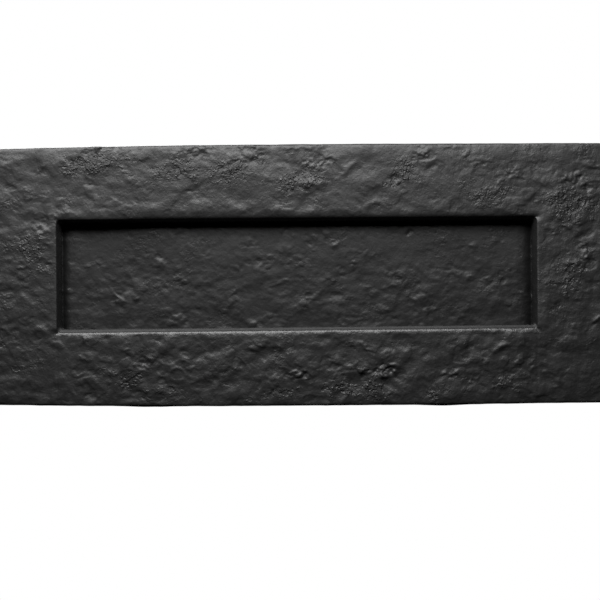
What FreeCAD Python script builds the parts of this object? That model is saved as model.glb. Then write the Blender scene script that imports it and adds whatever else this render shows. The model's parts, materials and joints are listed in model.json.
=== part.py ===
"""Cast-iron letter plate with a sprung, inward-opening flap, as a parametric FreeCAD document.

The frame is +X to the right and +Z up, seen from the street. -Y is the street side.
The origin is the middle of the plate on the door's outer face, which is the plane Y = 0.
The plate stands in front of that plane. The hinge and the fixings stand behind it.
Lengths are millimetres and angles are degrees.
"""

import FreeCAD
import Part
import Sketcher

import math
import os
import re

Vector = FreeCAD.Vector
CURVE_LIMIT = 0.01  # how close two coordinates are when they count as the same
ORIGIN = -1  # Sketcher's own name for the sketch origin and its horizontal axis
VERTICAL_AXIS = -2  # Sketcher's own name for the sketch's vertical axis
START, END, CENTRE = 1, 2, 3  # Sketcher's point numbers on a line or an arc

DIMENSIONS = {
    # face plate: a shallow tray, open at the back, with gently bowed long edges
    "plate_width": 265,
    "plate_height": 110,
    "left_end_height": 107.4,
    "right_end_height": 109,
    "plate_depth": 10,
    "plate_corner": 4,
    "plate_edge": 1.5,
    "face_wall": 5,
    "pocket_width": 255,
    "pocket_height": 95,
    "rib_spacing": 80,
    "rib_width": 3,
    "rib_height": 4,
    "rib_gap": 1.5,
    # letter aperture, with cast draft, and the collar that the flap closes on
    "aperture_width": 200,
    "aperture_height": 47,
    "aperture_corner": 1.2,
    "aperture_draft": 14,
    "aperture_lip": 0.6,
    "seat_depth": 6.5,
    "collar_width": 207,
    "collar_height": 54,
    # flap
    "flap_width": 206,
    "flap_bottom": -26.5,
    "flap_top": 27.5,
    "flap_thickness": 4,
    "flap_gap": 0.3,
    "flap_corner": 1.5,
    # hinge line and what turns on it
    "axis_back": 4.5,
    "axis_up": 33,
    "rod_radius": 2,
    "rod_length": 183,
    "rod_clearance": 0.08,
    "groove_radius": 1.6,
    "groove_width": 0.9,
    "knuckle_radius": 4.5,
    "knuckle_width": 8,
    "knuckle_inner": 78,
    "knuckle_foot": 17,
    "washer_thickness": 0.8,
    "washer_radius": 4.4,
    "washer_play": 0.1,
    "clip_thickness": 0.8,
    "clip_radius": 4.2,
    "clip_mouth": 3.4,
    # hinge bracket, bent from sheet, and its screws
    "bracket_sheet": 2,
    "bracket_length": 21,
    "bracket_eye": 5,
    "bracket_foot": 36,
    "bracket_shoulder": 41.5,
    "bracket_top": 47,
    "bracket_pad": 1,
    "screw_up": 42,
    "screw_inset": 7.5,
    "screw_pitch": 8.5,
    "screw_radius": 1.95,
    "screw_hole": 2.2,
    "screw_length": 5.5,
    "screw_head": 3.6,
    "screw_head_height": 1.8,
    "screw_slot": 1,
    # torsion spring
    "wire_radius": 0.4,
    "coil_radius": 3.1,
    "coil_pitch": 0.9,
    "coil_turns": 7,
    "coil_outer_end": 72,
    "leg_clearance": 0.05,
    "fixed_leg_up": 45,
    "moving_leg_up": 13,
    "nib_gap": 0.3,
    "nib_width": 0.9,
    "nib_length": 6,
    "nib_height": 1.2,
    # through-door fixings
    "door_thickness": 44,
    "stud_spacing": 232,
    "stud_radius": 3,
    "thread_radius": 2.7,
    "stud_shank": 34,
    "stud_length": 60,
    "stud_end_chamfer": 0.6,
    "boss_radius": 7,
    "tapped_radius": 2.75,
    "tapped_depth": 7,
    "penny_radius": 9,
    "penny_hole": 3.2,
    "penny_thickness": 1.6,
    "nut_flats": 10,
    "nut_hex_height": 5.5,
    "nut_height": 12,
    "nut_dome": 4.7,
    "nut_bore_depth": 9,
}

# Places that several pieces share, as expressions in the sizes above
POCKET_FLOOR = "plate_depth - face_wall"  # forward of the door's face
FOOT_FRONT = f"{POCKET_FLOOR} - bracket_pad"  # forward of the door's face
KNUCKLE_END = "knuckle_inner + knuckle_width"
BRACKET_START = f"{KNUCKLE_END} + washer_thickness + 2 * washer_play"
GROOVE_START = f"{BRACKET_START} + bracket_sheet + washer_play"

document = FreeCAD.newDocument("letter_plate")


def make_sheet():
    """The spreadsheet that every sub-part reads: a name in column A and its value in column B."""
    sheet = document.addObject("Spreadsheet::Sheet", "Size")
    for row, (alias, number) in enumerate(DIMENSIONS.items(), start=1):
        sheet.set(f"A{row}", alias)
        sheet.set(f"B{row}", str(number))
        sheet.setAlias(f"B{row}", alias)
    document.recompute()
    return sheet


SIZE = make_sheet()


def named(expression):
    """The expression with each alias written as the spreadsheet's own property."""
    def qualify(word):
        return f"Size.{word[0]}" if word[0] in DIMENSIONS else word[0]

    return re.sub("[a-z_]+", qualify, expression)


def value(expression):
    return float(SIZE.evalExpression(named(expression)))


def bind(thing, prop, expression):
    thing.setExpression(prop, named(expression))


# ---------------------------------------------------------------- sketches and features


def new_body(label):
    body = document.addObject("PartDesign::Body", label)
    body.Label = label
    return body


def new_sketch(body, name, plane, offset="0"):
    """A sketch on one of the body's origin planes, moved along that plane's normal."""
    sketch = body.newObject("Sketcher::SketchObject", name)
    support = next(f for f in body.Origin.OriginFeatures if f.Role == plane)
    sketch.AttachmentSupport = (support, "")
    sketch.MapMode = "FlatFace"
    bind(sketch, "AttachmentOffset.Base.z", offset)
    return sketch


def constrain(sketch, name, kind, *where, expression):
    """A driving constraint that takes its value from the spreadsheet."""
    index = sketch.addConstraint(Sketcher.Constraint(kind, *where, value(expression)))
    sketch.renameConstraint(index, name)
    bind(sketch, f"Constraints.{name}", expression)


def pin_point(sketch, name, geometry, point, x, y):
    """Fixes a point at (x, y) from the sketch origin."""
    constrain(sketch, f"{name}_x", "DistanceX", ORIGIN, START, geometry, point, expression=x)
    constrain(sketch, f"{name}_y", "DistanceY", ORIGIN, START, geometry, point, expression=y)


def join_up(sketch, chain, smooth=()):
    """Makes each geometry's end meet the next one's start, all the way round. The ones that are
    listed as smooth leave tangentially as well."""
    for this, following in zip(chain, chain[1:] + chain[:1]):
        kind = "Tangent" if this in smooth else "Coincident"
        sketch.addConstraint(Sketcher.Constraint(kind, this, END, following, START))


def polygon(sketch, name, corners):
    """A closed polygon whose corners are pairs of expressions."""
    points = [Vector(value(x), value(y), 0) for x, y in corners]
    sides = zip(points, points[1:] + points[:1])
    lines = [sketch.addGeometry(Part.LineSegment(a, b)) for a, b in sides]
    join_up(sketch, lines)
    for number, (line, (x, y)) in enumerate(zip(lines, corners)):
        pin_point(sketch, f"{name}{number}", line, START, x, y)


def box(sketch, name, left, right, bottom, top):
    polygon(sketch, name, [(left, bottom), (right, bottom), (right, top), (left, top)])


def circle(sketch, name, x, y, radius):
    centre = Vector(value(x), value(y), 0)
    ring = sketch.addGeometry(Part.Circle(centre, Vector(0, 0, 1), value(radius)))
    constrain(sketch, f"{name}_radius", "Radius", ring, expression=radius)
    pin_point(sketch, name, ring, CENTRE, x, y)


def extrude(body, kind, name, sketch, length, reverse=False, taper=None):
    """A Pad or a Pocket, which has to change the body's volume."""
    before = body.Shape.Volume if body.Tip else 0.0
    feature = body.newObject(f"PartDesign::{kind}", name)
    feature.Profile = sketch
    feature.Reversed = reverse
    if length is None:
        feature.Type = "ThroughAll"
        feature.SideType = "Symmetric"
    else:
        bind(feature, "Length", length)
    if taper:
        bind(feature, "TaperAngle", taper)
    document.recompute()
    if abs(body.Shape.Volume - before) < CURVE_LIMIT:
        raise RuntimeError(f"{body.Label}: {name} changed nothing")
    return feature


def pad(body, name, sketch, length, **options):
    return extrude(body, "Pad", name, sketch, length, **options)


def pocket(body, name, sketch, length=None, **options):
    return extrude(body, "Pocket", name, sketch, length, **options)


def revolve(body, name, sketch):
    feature = body.newObject("PartDesign::Revolution", name)
    feature.Profile = sketch
    feature.ReferenceAxis = (sketch, ["V_Axis"])
    feature.Angle = 360
    document.recompute()
    return feature


def dress(body, kind, name, size, wanted):
    """A Fillet or a Chamfer on the tip's edges for which wanted(edge) is true."""
    base = body.Tip
    edges = [f"Edge{i}" for i, e in enumerate(base.Shape.Edges, start=1) if wanted(e)]
    if not edges:
        raise RuntimeError(f"{body.Label}: {name} found no edge")
    feature = body.newObject(f"PartDesign::{kind}", name)
    feature.Base = (base, edges)
    bind(feature, "Radius" if kind == "Fillet" else "Size", size)
    document.recompute()
    return feature


def spans(edge, axis):
    """How far an edge reaches along X, Y or Z."""
    return getattr(edge.BoundBox, axis + "Length")


def lies_at(edge, axis, place):
    """True if the whole edge lies in the plane across that axis."""
    middle = getattr(edge.BoundBox.Center, axis.lower())
    return spans(edge, axis) < CURVE_LIMIT and abs(middle - place) < CURVE_LIMIT


def place_on_y(thing, x, y, z):
    """Turns a piece made along its own +Z to point along +Y, and puts its origin at (x, y, z)."""
    thing.Placement = FreeCAD.Placement(Vector(0, 0, 0), FreeCAD.Rotation(Vector(1, 0, 0), -90))
    bind(thing, "Placement.Base.x", x)
    bind(thing, "Placement.Base.y", y)
    bind(thing, "Placement.Base.z", z)


def mirror_to_left(right):
    """The left-hand copy of a right-hand piece."""
    label = right.Label.replace("right", "left")
    left = document.addObject("Part::Mirroring", label)
    left.Label = label
    left.Source = right
    left.Normal = Vector(1, 0, 0)
    return left


# ---------------------------------------------------------------- face plate


def draw_outline(sketch):
    """Straight ends, and long edges that are two arcs each, meeting level in the middle."""
    half_width = value("plate_width / 2")
    crest = value("plate_height / 2")
    ends = {-1: "left_end_height / 2", 1: "right_end_height / 2"}

    def half_edge(side, upward):
        """The arc from the middle of a long edge to one end, drawn anticlockwise."""
        sagitta = crest - value(ends[side])
        radius = (half_width**2 + sagitta**2) / (2 * sagitta)
        centre = Vector(0, upward * (crest - radius), 0)
        at_crest = upward * math.pi / 2
        sweep = math.asin(half_width / radius)
        corner = at_crest - upward * side * sweep
        ring = Part.Circle(centre, Vector(0, 0, 1), radius)
        return Part.ArcOfCircle(ring, min(at_crest, corner), max(at_crest, corner))

    def end_line(side):
        x, z = side * half_width, value(ends[side])
        return Part.LineSegment(Vector(x, -side * z, 0), Vector(x, side * z, 0))

    right_line = sketch.addGeometry(end_line(1))
    top_right = sketch.addGeometry(half_edge(1, 1))
    top_left = sketch.addGeometry(half_edge(-1, 1))
    left_line = sketch.addGeometry(end_line(-1))
    bottom_left = sketch.addGeometry(half_edge(-1, -1))
    bottom_right = sketch.addGeometry(half_edge(1, -1))
    join_up(sketch, [right_line, top_right, top_left, left_line, bottom_left, bottom_right])
    for arc in (top_right, top_left, bottom_left, bottom_right):
        on_axis = Sketcher.Constraint("PointOnObject", arc, CENTRE, VERTICAL_AXIS)
        sketch.addConstraint(on_axis)
    half = "plate_width / 2"
    pin_point(sketch, "right_foot", right_line, START, half, f"-{ends[1]}")
    pin_point(sketch, "right_head", right_line, END, half, ends[1])
    pin_point(sketch, "left_head", left_line, START, f"-{half}", ends[-1])
    pin_point(sketch, "left_foot", left_line, END, f"-{half}", f"-{ends[-1]}")
    pin_point(sketch, "crest", top_right, END, "0", "plate_height / 2")
    pin_point(sketch, "sole", bottom_left, END, "0", "-plate_height / 2")


def spring_geometry():
    """Where the right-hand spring's wire leaves its coil and where its two tips rest.

    Places are (Y, Z) about the hinge axis. Each leg is tangent to the coil, and the coil turns
    from +Y towards +Z as X grows. The fixed leg presses on the plate's wall, above the hinge, and
    the moving leg presses on the flap's back, below it.
    """
    radius = value("coil_radius")
    wall = "face_wall - plate_depth"
    back = "flap_thickness + flap_gap + seat_depth - plate_depth + leg_clearance"
    fixed_tip = (value(f"{wall} + wire_radius - axis_back"), value("fixed_leg_up - axis_up"))
    moving_tip = (value(f"{back} + wire_radius - axis_back"), value("moving_leg_up - axis_up"))

    def tangent_angle(tip, side):
        reach = math.hypot(*tip)
        return math.atan2(tip[1], tip[0]) + side * math.acos(radius / reach)

    first = tangent_angle(fixed_tip, 1)
    last = tangent_angle(moving_tip, -1)
    wound = (last - first) % (2 * math.pi) + 2 * math.pi * (value("coil_turns") - 1)
    length = value("coil_pitch") * wound / (2 * math.pi)
    slope = value("coil_pitch") / (2 * math.pi * radius)
    fixed_leg = math.sqrt(math.hypot(*fixed_tip) ** 2 - radius**2)
    moving_leg = math.sqrt(math.hypot(*moving_tip) ** 2 - radius**2)
    inner_end = value("coil_outer_end") - length
    return {
        "first": first,
        "wound": wound,
        "length": length,
        "inner_end": inner_end,
        "fixed_leg": fixed_leg,
        "moving_leg": moving_leg,
        "slope": slope,
        "fixed_x": inner_end - slope * fixed_leg,
        "moving_x": value("coil_outer_end") + slope * moving_leg,
    }


def draw_nibs(sketch, tip_x, z, foot, head):
    """Two upright nibs, one each side of a spring's tip, for both springs."""
    for side, hand in ((-1, "left"), (1, "right")):
        for edge in (-1, 1):
            inner = f"{side * tip_x:.4f} + ({edge}) * (wire_radius + nib_gap)"
            outer = f"{inner} + ({edge}) * nib_width"
            ends = (inner, outer) if edge > 0 else (outer, inner)
            name = f"{hand}_{foot}_{'far' if edge > 0 else 'near'}"
            box(sketch, name, *ends, f"{z} - nib_length / 2", f"{z} + {head}")


def make_face_plate():
    """The cast frame: rounded front, drafted aperture, and a hollow back with its collar,
    ribs, fixing bosses, bracket pads and the nibs that hold the springs' fixed legs."""
    body = new_body("face_plate")
    outline = new_sketch(body, "plate_outline", "XZ_Plane")
    draw_outline(outline)
    pad(body, "plate_slab", outline, "plate_depth")
    half_width, front = value("plate_width / 2"), -value("plate_depth")
    dress(body, "Fillet", "plate_corners", "plate_corner",
          lambda e: spans(e, "Y") > 1 and abs(abs(e.BoundBox.Center.x) - half_width) < CURVE_LIMIT)
    dress(body, "Fillet", "front_edge", "plate_edge", lambda e: lies_at(e, "Y", front))

    hollow = new_sketch(body, "back_outline", "XZ_Plane")
    box(hollow, "hollow", "-pocket_width / 2", "pocket_width / 2",
        "-pocket_height / 2", "pocket_height / 2")
    pocket(body, "back_hollow", hollow, POCKET_FLOOR, reverse=True)

    collar = new_sketch(body, "collar_outline", "XZ_Plane", POCKET_FLOOR)
    box(collar, "collar", "-collar_width / 2", "collar_width / 2",
        "-collar_height / 2", "collar_height / 2")
    pad(body, "collar", collar, "seat_depth - face_wall", reverse=True)

    ribs = new_sketch(body, "rib_outline", "XZ_Plane", POCKET_FLOOR)
    rim_top = "pocket_height / 2 + 1"
    for side, hand in ((-1, "left"), (1, "right")):
        edges = [f"({side}) * rib_spacing / 2 {step} rib_width / 2" for step in "-+"]
        box(ribs, f"{hand}_upper", *edges, "flap_top + rib_gap", rim_top)
        box(ribs, f"{hand}_lower", *edges, f"-({rim_top})", "flap_bottom - rib_gap")
    pad(body, "ribs", ribs, "rib_height", reverse=True)

    bosses = new_sketch(body, "boss_outline", "XZ_Plane", POCKET_FLOOR)
    tapped = new_sketch(body, "tapped_outline", "XZ_Plane")
    for side, hand in ((-1, "left"), (1, "right")):
        x = f"({side}) * stud_spacing / 2"
        circle(bosses, hand, x, "0", "boss_radius")
        circle(tapped, hand, x, "0", "tapped_radius")
    pad(body, "fixing_bosses", bosses, POCKET_FLOOR, reverse=True)
    pocket(body, "stud_holes", tapped, "tapped_depth", reverse=True)

    pads = new_sketch(body, "bracket_pad_outline", "XZ_Plane", POCKET_FLOOR)
    holes = new_sketch(body, "bracket_hole_outline", "XZ_Plane", FOOT_FRONT)
    for side, hand in ((-1, "left"), (1, "right")):
        near = f"({side}) * ({BRACKET_START})"
        far = f"({side}) * ({BRACKET_START} + bracket_length)"
        left, right = (near, far) if side > 0 else (far, near)
        box(pads, hand, left, right, "bracket_foot - 0.5", "pocket_height / 2 + 1")
        for number in range(2):
            x = f"({side}) * ({BRACKET_START} + screw_inset + {number} * screw_pitch)"
            circle(holes, f"{hand}{number}", x, "screw_up", "screw_radius + 0.05")
    pad(body, "bracket_pads", pads, "bracket_pad", reverse=True)
    pocket(body, "bracket_screw_holes", holes, "screw_length - bracket_sheet + 0.5", reverse=True)

    nibs = new_sketch(body, "nib_outline", "XZ_Plane", POCKET_FLOOR)
    draw_nibs(nibs, spring_geometry()["fixed_x"], "fixed_leg_up", "fixed", "nib_height")
    pad(body, "spring_nibs", nibs, "nib_height", reverse=True)

    mouth = new_sketch(body, "aperture_outline", "XZ_Plane", "plate_depth")
    box(mouth, "mouth", "-aperture_width / 2", "aperture_width / 2",
        "-aperture_height / 2", "aperture_height / 2")
    pocket(body, "aperture", mouth, "seat_depth", taper="-aperture_draft")
    inside = value("aperture_width / 2") + 1

    def in_aperture(edge):
        centre = edge.BoundBox.Center
        return abs(centre.x) < inside and abs(centre.z) < value("aperture_height / 2") + 1

    dress(body, "Fillet", "aperture_corners", "aperture_corner",
          lambda e: in_aperture(e) and spans(e, "Y") > value("seat_depth") - 1)
    dress(body, "Fillet", "aperture_lip", "aperture_lip",
          lambda e: in_aperture(e) and lies_at(e, "Y", front))
    return body


# ---------------------------------------------------------------- flap and hinge


def make_flap():
    """The cast flap: a flat panel with two drilled knuckles on its back."""
    body = new_body("flap")
    seat = "plate_depth - seat_depth - flap_gap"
    panel = new_sketch(body, "panel_outline", "XZ_Plane", f"{seat} - flap_thickness")
    box(panel, "panel", "-flap_width / 2", "flap_width / 2", "flap_bottom", "flap_top")
    pad(body, "panel", panel, "flap_thickness")
    dress(body, "Fillet", "panel_corners", "flap_corner", lambda e: spans(e, "Y") > 1)

    knuckle = new_sketch(body, "knuckle_outline", "YZ_Plane", "knuckle_inner")
    draw_knuckle(knuckle)
    one = pad(body, "knuckle", knuckle, "knuckle_width")
    both = body.newObject("PartDesign::Mirrored", "both_knuckles")
    both.Originals = [one]
    yz_plane = next(f for f in body.Origin.OriginFeatures if f.Role == "YZ_Plane")
    both.MirrorPlane = (yz_plane, [""])
    body.Tip = both
    document.recompute()

    bore = new_sketch(body, "bore_outline", "YZ_Plane")
    circle(bore, "bore", "axis_back", "axis_up", "rod_radius + rod_clearance")
    pocket(body, "bore", bore)

    back = f"{seat} - flap_thickness"
    nibs = new_sketch(body, "nib_outline", "XZ_Plane", back)
    draw_nibs(nibs, spring_geometry()["moving_x"], "moving_leg_up", "moving", "nib_length / 2")
    pad(body, "spring_nibs", nibs, "nib_height", reverse=True)
    return body


def draw_knuckle(sketch):
    """A round eye about the hinge axis, on a web that slopes down to the panel's back."""
    axis_back, axis_up = value("axis_back"), value("axis_up")
    radius = value("knuckle_radius")
    front, rear = axis_back - radius, axis_back + radius
    foot = value("knuckle_foot")
    waist = value("axis_up - knuckle_radius - 2")
    centre = Vector(axis_back, axis_up, 0)
    eye = Part.ArcOfCircle(Part.Circle(centre, Vector(0, 0, 1), radius), 0, math.pi)
    corners = [
        Vector(front, axis_up, 0),
        Vector(front, foot, 0),
        Vector(front + 0.5, foot, 0),
        Vector(rear, waist, 0),
        Vector(rear, axis_up, 0),
    ]
    lines = [Part.LineSegment(a, b) for a, b in zip(corners, corners[1:])]
    chain = [sketch.addGeometry(g) for g in [eye] + lines]
    join_up(sketch, chain, smooth=chain[-1:])
    front_x, rear_x = "axis_back - knuckle_radius", "axis_back + knuckle_radius"
    pin_point(sketch, "axis", chain[0], CENTRE, "axis_back", "axis_up")
    pin_point(sketch, "front_top", chain[1], START, front_x, "axis_up")
    pin_point(sketch, "front_foot", chain[2], START, front_x, "knuckle_foot")
    pin_point(sketch, "rear_foot", chain[3], START, f"{front_x} + 0.5", "knuckle_foot")
    pin_point(sketch, "rear_waist", chain[4], START, rear_x, "axis_up - knuckle_radius - 2")


def make_hinge_rod():
    """The plain steel rod, grooved near both ends for its clips."""
    body = new_body("hinge_rod")
    profile = new_sketch(body, "rod_profile", "XZ_Plane")
    half, radius, neck = "rod_length / 2", "rod_radius", "groove_radius"
    near, far = GROOVE_START, f"{GROOVE_START} + groove_width"
    tip = "rod_radius - 0.4"
    upper = [("0", half), (tip, half), (radius, f"{half} - 0.4"),
             (radius, far), (neck, far), (neck, near), (radius, near)]
    lower = [(x, f"-({z})") for x, z in reversed(upper)]
    polygon(profile, "profile", upper + lower)
    revolve(body, "turned_rod", profile)
    body.Placement = FreeCAD.Placement(Vector(0, 0, 0), FreeCAD.Rotation(Vector(0, 1, 0), 90))
    bind(body, "Placement.Base.y", "axis_back")
    bind(body, "Placement.Base.z", "axis_up")
    return body


def make_thrust_washer():
    """Keeps the iron knuckle off the steel bracket."""
    body = new_body("right_thrust_washer")
    rings = new_sketch(body, "washer_outline", "YZ_Plane", f"{KNUCKLE_END} + washer_play")
    circle(rings, "outside", "axis_back", "axis_up", "washer_radius")
    circle(rings, "inside", "axis_back", "axis_up", "rod_radius + rod_clearance")
    pad(body, "washer", rings, "washer_thickness")
    return body


def make_rod_clip():
    """An E-clip: an open ring with three lobes that grip the rod's groove."""
    body = new_body("right_rod_clip")
    start = f"{GROOVE_START} + (groove_width - clip_thickness) / 2"
    rings = new_sketch(body, "ring_outline", "YZ_Plane", start)
    circle(rings, "outside", "axis_back", "axis_up", "clip_radius")
    circle(rings, "inside", "axis_back", "axis_up", "clip_radius - 1.3")
    pad(body, "ring", rings, "clip_thickness")

    lobes = new_sketch(body, "lobe_outline", "YZ_Plane", start)
    box(lobes, "side_lobes", "axis_back - clip_radius + 1", "axis_back + clip_radius - 1",
        "axis_up - 1.1", "axis_up + 0.3")
    pad(body, "side_lobes", lobes, "clip_thickness")
    crown = new_sketch(body, "crown_outline", "YZ_Plane", start)
    box(crown, "crown_lobe", "axis_back - 0.8", "axis_back + 0.8",
        "axis_up", "axis_up + clip_radius - 1")
    pad(body, "crown_lobe", crown, "clip_thickness")

    mouth = new_sketch(body, "mouth_outline", "YZ_Plane", start)
    box(mouth, "mouth", "axis_back - clip_mouth / 2", "axis_back + clip_mouth / 2",
        "axis_up - clip_radius - 1", "axis_up")
    pocket(body, "mouth", mouth, "clip_thickness", reverse=True)
    grip = new_sketch(body, "grip_outline", "YZ_Plane", start)
    circle(grip, "grip", "axis_back", "axis_up", "groove_radius + 0.03")
    pocket(body, "grip", grip, "clip_thickness", reverse=True)
    return body


def make_hinge_bracket():
    """A foot on the plate's pad and an upright ear that carries the rod, bent from one sheet."""
    body = new_body("right_hinge_bracket")
    ear = new_sketch(body, "ear_outline", "YZ_Plane", BRACKET_START)
    draw_ear(ear)
    pad(body, "ear", ear, "bracket_sheet")

    foot = new_sketch(body, "foot_outline", "XZ_Plane", FOOT_FRONT)
    box(foot, "foot", BRACKET_START, f"{BRACKET_START} + bracket_length",
        "bracket_foot", "bracket_top")
    pad(body, "foot", foot, "bracket_sheet", reverse=True)

    eye = new_sketch(body, "eye_outline", "YZ_Plane", BRACKET_START)
    circle(eye, "eye", "axis_back", "axis_up", "rod_radius + 0.05")
    pocket(body, "eye", eye, "bracket_sheet", reverse=True)
    holes = new_sketch(body, "hole_outline", "XZ_Plane", FOOT_FRONT)
    for number in range(2):
        x = f"{BRACKET_START} + screw_inset + {number} * screw_pitch"
        circle(holes, f"hole{number}", x, "screw_up", "screw_hole")
    pocket(body, "screw_holes", holes, "bracket_sheet", reverse=False)
    outer = value(f"{BRACKET_START} + bracket_length")
    dress(body, "Fillet", "foot_corners", "bracket_sheet",
          lambda e: spans(e, "Y") > 1 and abs(e.BoundBox.Center.x - outer) < CURVE_LIMIT)
    return body


def draw_ear(sketch):
    """A round eye, with a flat under it and an edge that falls tangentially to the foot."""
    axis_back, axis_up = value("axis_back"), value("axis_up")
    radius = value("bracket_eye")
    front, back = -value(FOOT_FRONT), -value(FOOT_FRONT) + value("bracket_sheet")
    shoulder, top = value("bracket_shoulder"), value("bracket_top")
    away_x, away_z = back - axis_back, shoulder - axis_up
    turn = math.atan2(away_z, away_x) - math.acos(radius / math.hypot(away_x, away_z))
    centre = Vector(axis_back, axis_up, 0)
    eye = Part.ArcOfCircle(Part.Circle(centre, Vector(0, 0, 1), radius), -math.pi / 2, turn)
    corners = [
        centre + Vector(radius * math.cos(turn), radius * math.sin(turn), 0),
        Vector(back, shoulder, 0),
        Vector(back, top, 0),
        Vector(front, top, 0),
        Vector(front, axis_up - radius, 0),
        Vector(axis_back, axis_up - radius, 0),
    ]
    lines = [Part.LineSegment(a, b) for a, b in zip(corners, corners[1:])]
    chain = [sketch.addGeometry(g) for g in [eye] + lines]
    join_up(sketch, chain, smooth=chain[:1])
    front_x, back_x = f"-({FOOT_FRONT})", f"-({FOOT_FRONT}) + bracket_sheet"
    pin_point(sketch, "axis", chain[0], CENTRE, "axis_back", "axis_up")
    pin_point(sketch, "under", chain[0], START, "axis_back", "axis_up - bracket_eye")
    pin_point(sketch, "shoulder", chain[2], START, back_x, "bracket_shoulder")
    pin_point(sketch, "back_top", chain[3], START, back_x, "bracket_top")
    pin_point(sketch, "front_top", chain[4], START, front_x, "bracket_top")
    pin_point(sketch, "front_foot", chain[5], START, front_x, "axis_up - bracket_eye")


def make_bracket_screw(label, number):
    """A slotted pan-head screw, made along +Z with the underside of its head at its origin."""
    body = new_body(label)
    profile = new_sketch(body, "screw_profile", "XZ_Plane")
    polygon(profile, "profile", [
        ("0", "-screw_length"),
        ("screw_radius - 0.4", "-screw_length"),
        ("screw_radius", "0.4 - screw_length"),
        ("screw_radius", "0"),
        ("screw_head", "0"),
        ("screw_head", "screw_head_height"),
        ("0", "screw_head_height"),
    ])
    revolve(body, "turned_screw", profile)
    crown = value("screw_head_height")
    dress(body, "Fillet", "pan_head", "screw_head_height - 0.6",
          lambda e: lies_at(e, "Z", crown) and spans(e, "X") > 2)
    slot = new_sketch(body, "slot_outline", "XY_Plane", "screw_head_height")
    box(slot, "slot", "-screw_head - 1", "screw_head + 1", "-screw_slot / 2", "screw_slot / 2")
    pocket(body, "slot", slot, "screw_slot")
    x = f"{BRACKET_START} + screw_inset + {number} * screw_pitch"
    place_on_y(body, x, f"bracket_sheet - ({FOOT_FRONT})", "screw_up")
    return body


def make_torsion_spring():
    """Round wire: a straight leg, a coil loose about the rod, and a second straight leg, all
    tangent to each other. It is made along +Z and turned to lie along +X."""
    radius, pitch = value("coil_radius"), value("coil_pitch")
    form = spring_geometry()
    first, wound, length = form["first"], form["wound"], form["length"]
    helix = Part.makeHelix(pitch, length, radius)
    helix.rotate(Vector(0, 0, 0), Vector(0, 0, 1), math.degrees(first))

    def on_coil(angle, height):
        return Vector(radius * math.cos(angle), radius * math.sin(angle), height)

    def forward(angle):
        return Vector(-math.sin(angle), math.cos(angle), form["slope"])

    start, finish = on_coil(first, 0), on_coil(first + wound, length)
    fixed_tip = start - forward(first) * form["fixed_leg"]
    moving_tip = finish + forward(first + wound) * form["moving_leg"]
    edges = [Part.makeLine(fixed_tip, start)] + helix.Edges + [Part.makeLine(finish, moving_tip)]
    path = Part.Wire(edges)
    section = Part.Wire(Part.makeCircle(value("wire_radius"), fixed_tip, forward(first)))
    wire = path.makePipeShell([section], True, True)

    spring = document.addObject("Part::Feature", "right_torsion_spring")
    spring.Label = "right_torsion_spring"
    spring.Shape = wire
    # Turns the piece's own X, Y and Z to the document's Y, Z and X.
    turn = FreeCAD.Rotation(Vector(0, 1, 0), Vector(0, 0, 1), Vector(1, 0, 0), "ZXY")
    axis = Vector(form["inner_end"], value("axis_back"), value("axis_up"))
    spring.Placement = FreeCAD.Placement(axis, turn)
    return spring


# ---------------------------------------------------------------- through-door fixings


def make_fixing_stud():
    """Studding with a plain shank, screwed into its boss, made along +Z from its front end."""
    body = new_body("right_fixing_stud")
    profile = new_sketch(body, "stud_profile", "XZ_Plane")
    buried = "tapped_depth - 0.2"
    polygon(profile, "profile", [
        ("0", "0"),
        ("thread_radius - stud_end_chamfer", "0"),
        ("thread_radius", "stud_end_chamfer"),
        ("thread_radius", buried),
        ("stud_radius", buried),
        ("stud_radius", f"{buried} + stud_shank"),
        ("thread_radius", f"{buried} + stud_shank"),
        ("thread_radius", "stud_length - stud_end_chamfer"),
        ("thread_radius - stud_end_chamfer", "stud_length"),
        ("0", "stud_length"),
    ])
    revolve(body, "turned_stud", profile)
    place_on_y(body, "stud_spacing / 2", f"-({buried})", "0")
    return body


def make_door_washer():
    """A wide washer on the door's inner face."""
    body = new_body("right_door_washer")
    rings = new_sketch(body, "washer_outline", "XY_Plane")
    circle(rings, "outside", "0", "0", "penny_radius")
    circle(rings, "inside", "0", "0", "penny_hole")
    pad(body, "washer", rings, "penny_thickness")
    rim = value("penny_radius")
    dress(body, "Chamfer", "washer_edge", "penny_thickness / 6",
          lambda e: spans(e, "X") > 2 * rim - 1 and spans(e, "Z") < CURVE_LIMIT)
    place_on_y(body, "stud_spacing / 2", "door_thickness", "0")
    return body


def make_dome_nut():
    """A hexagon with a closed dome, made along +Z from its bearing face."""
    body = new_body("right_dome_nut")
    hexagon = new_sketch(body, "hexagon_outline", "XY_Plane")
    corners = []
    for corner in range(6):
        turn = f"({60 * corner + 30})"
        reach = "nut_flats / 2 / cos(30)"
        corners.append((f"{reach} * cos{turn}", f"{reach} * sin{turn}"))
    polygon(hexagon, "hexagon", corners)
    pad(body, "hexagon", hexagon, "nut_hex_height")
    dome = new_sketch(body, "dome_profile", "XZ_Plane")
    draw_dome(dome)
    revolve(body, "dome", dome)
    bore = new_sketch(body, "bore_outline", "XY_Plane")
    circle(bore, "bore", "0", "0", "tapped_radius")
    pocket(body, "bore", bore, "nut_bore_depth", reverse=True)
    place_on_y(body, "stud_spacing / 2", "door_thickness + penny_thickness", "0")
    return body


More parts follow.
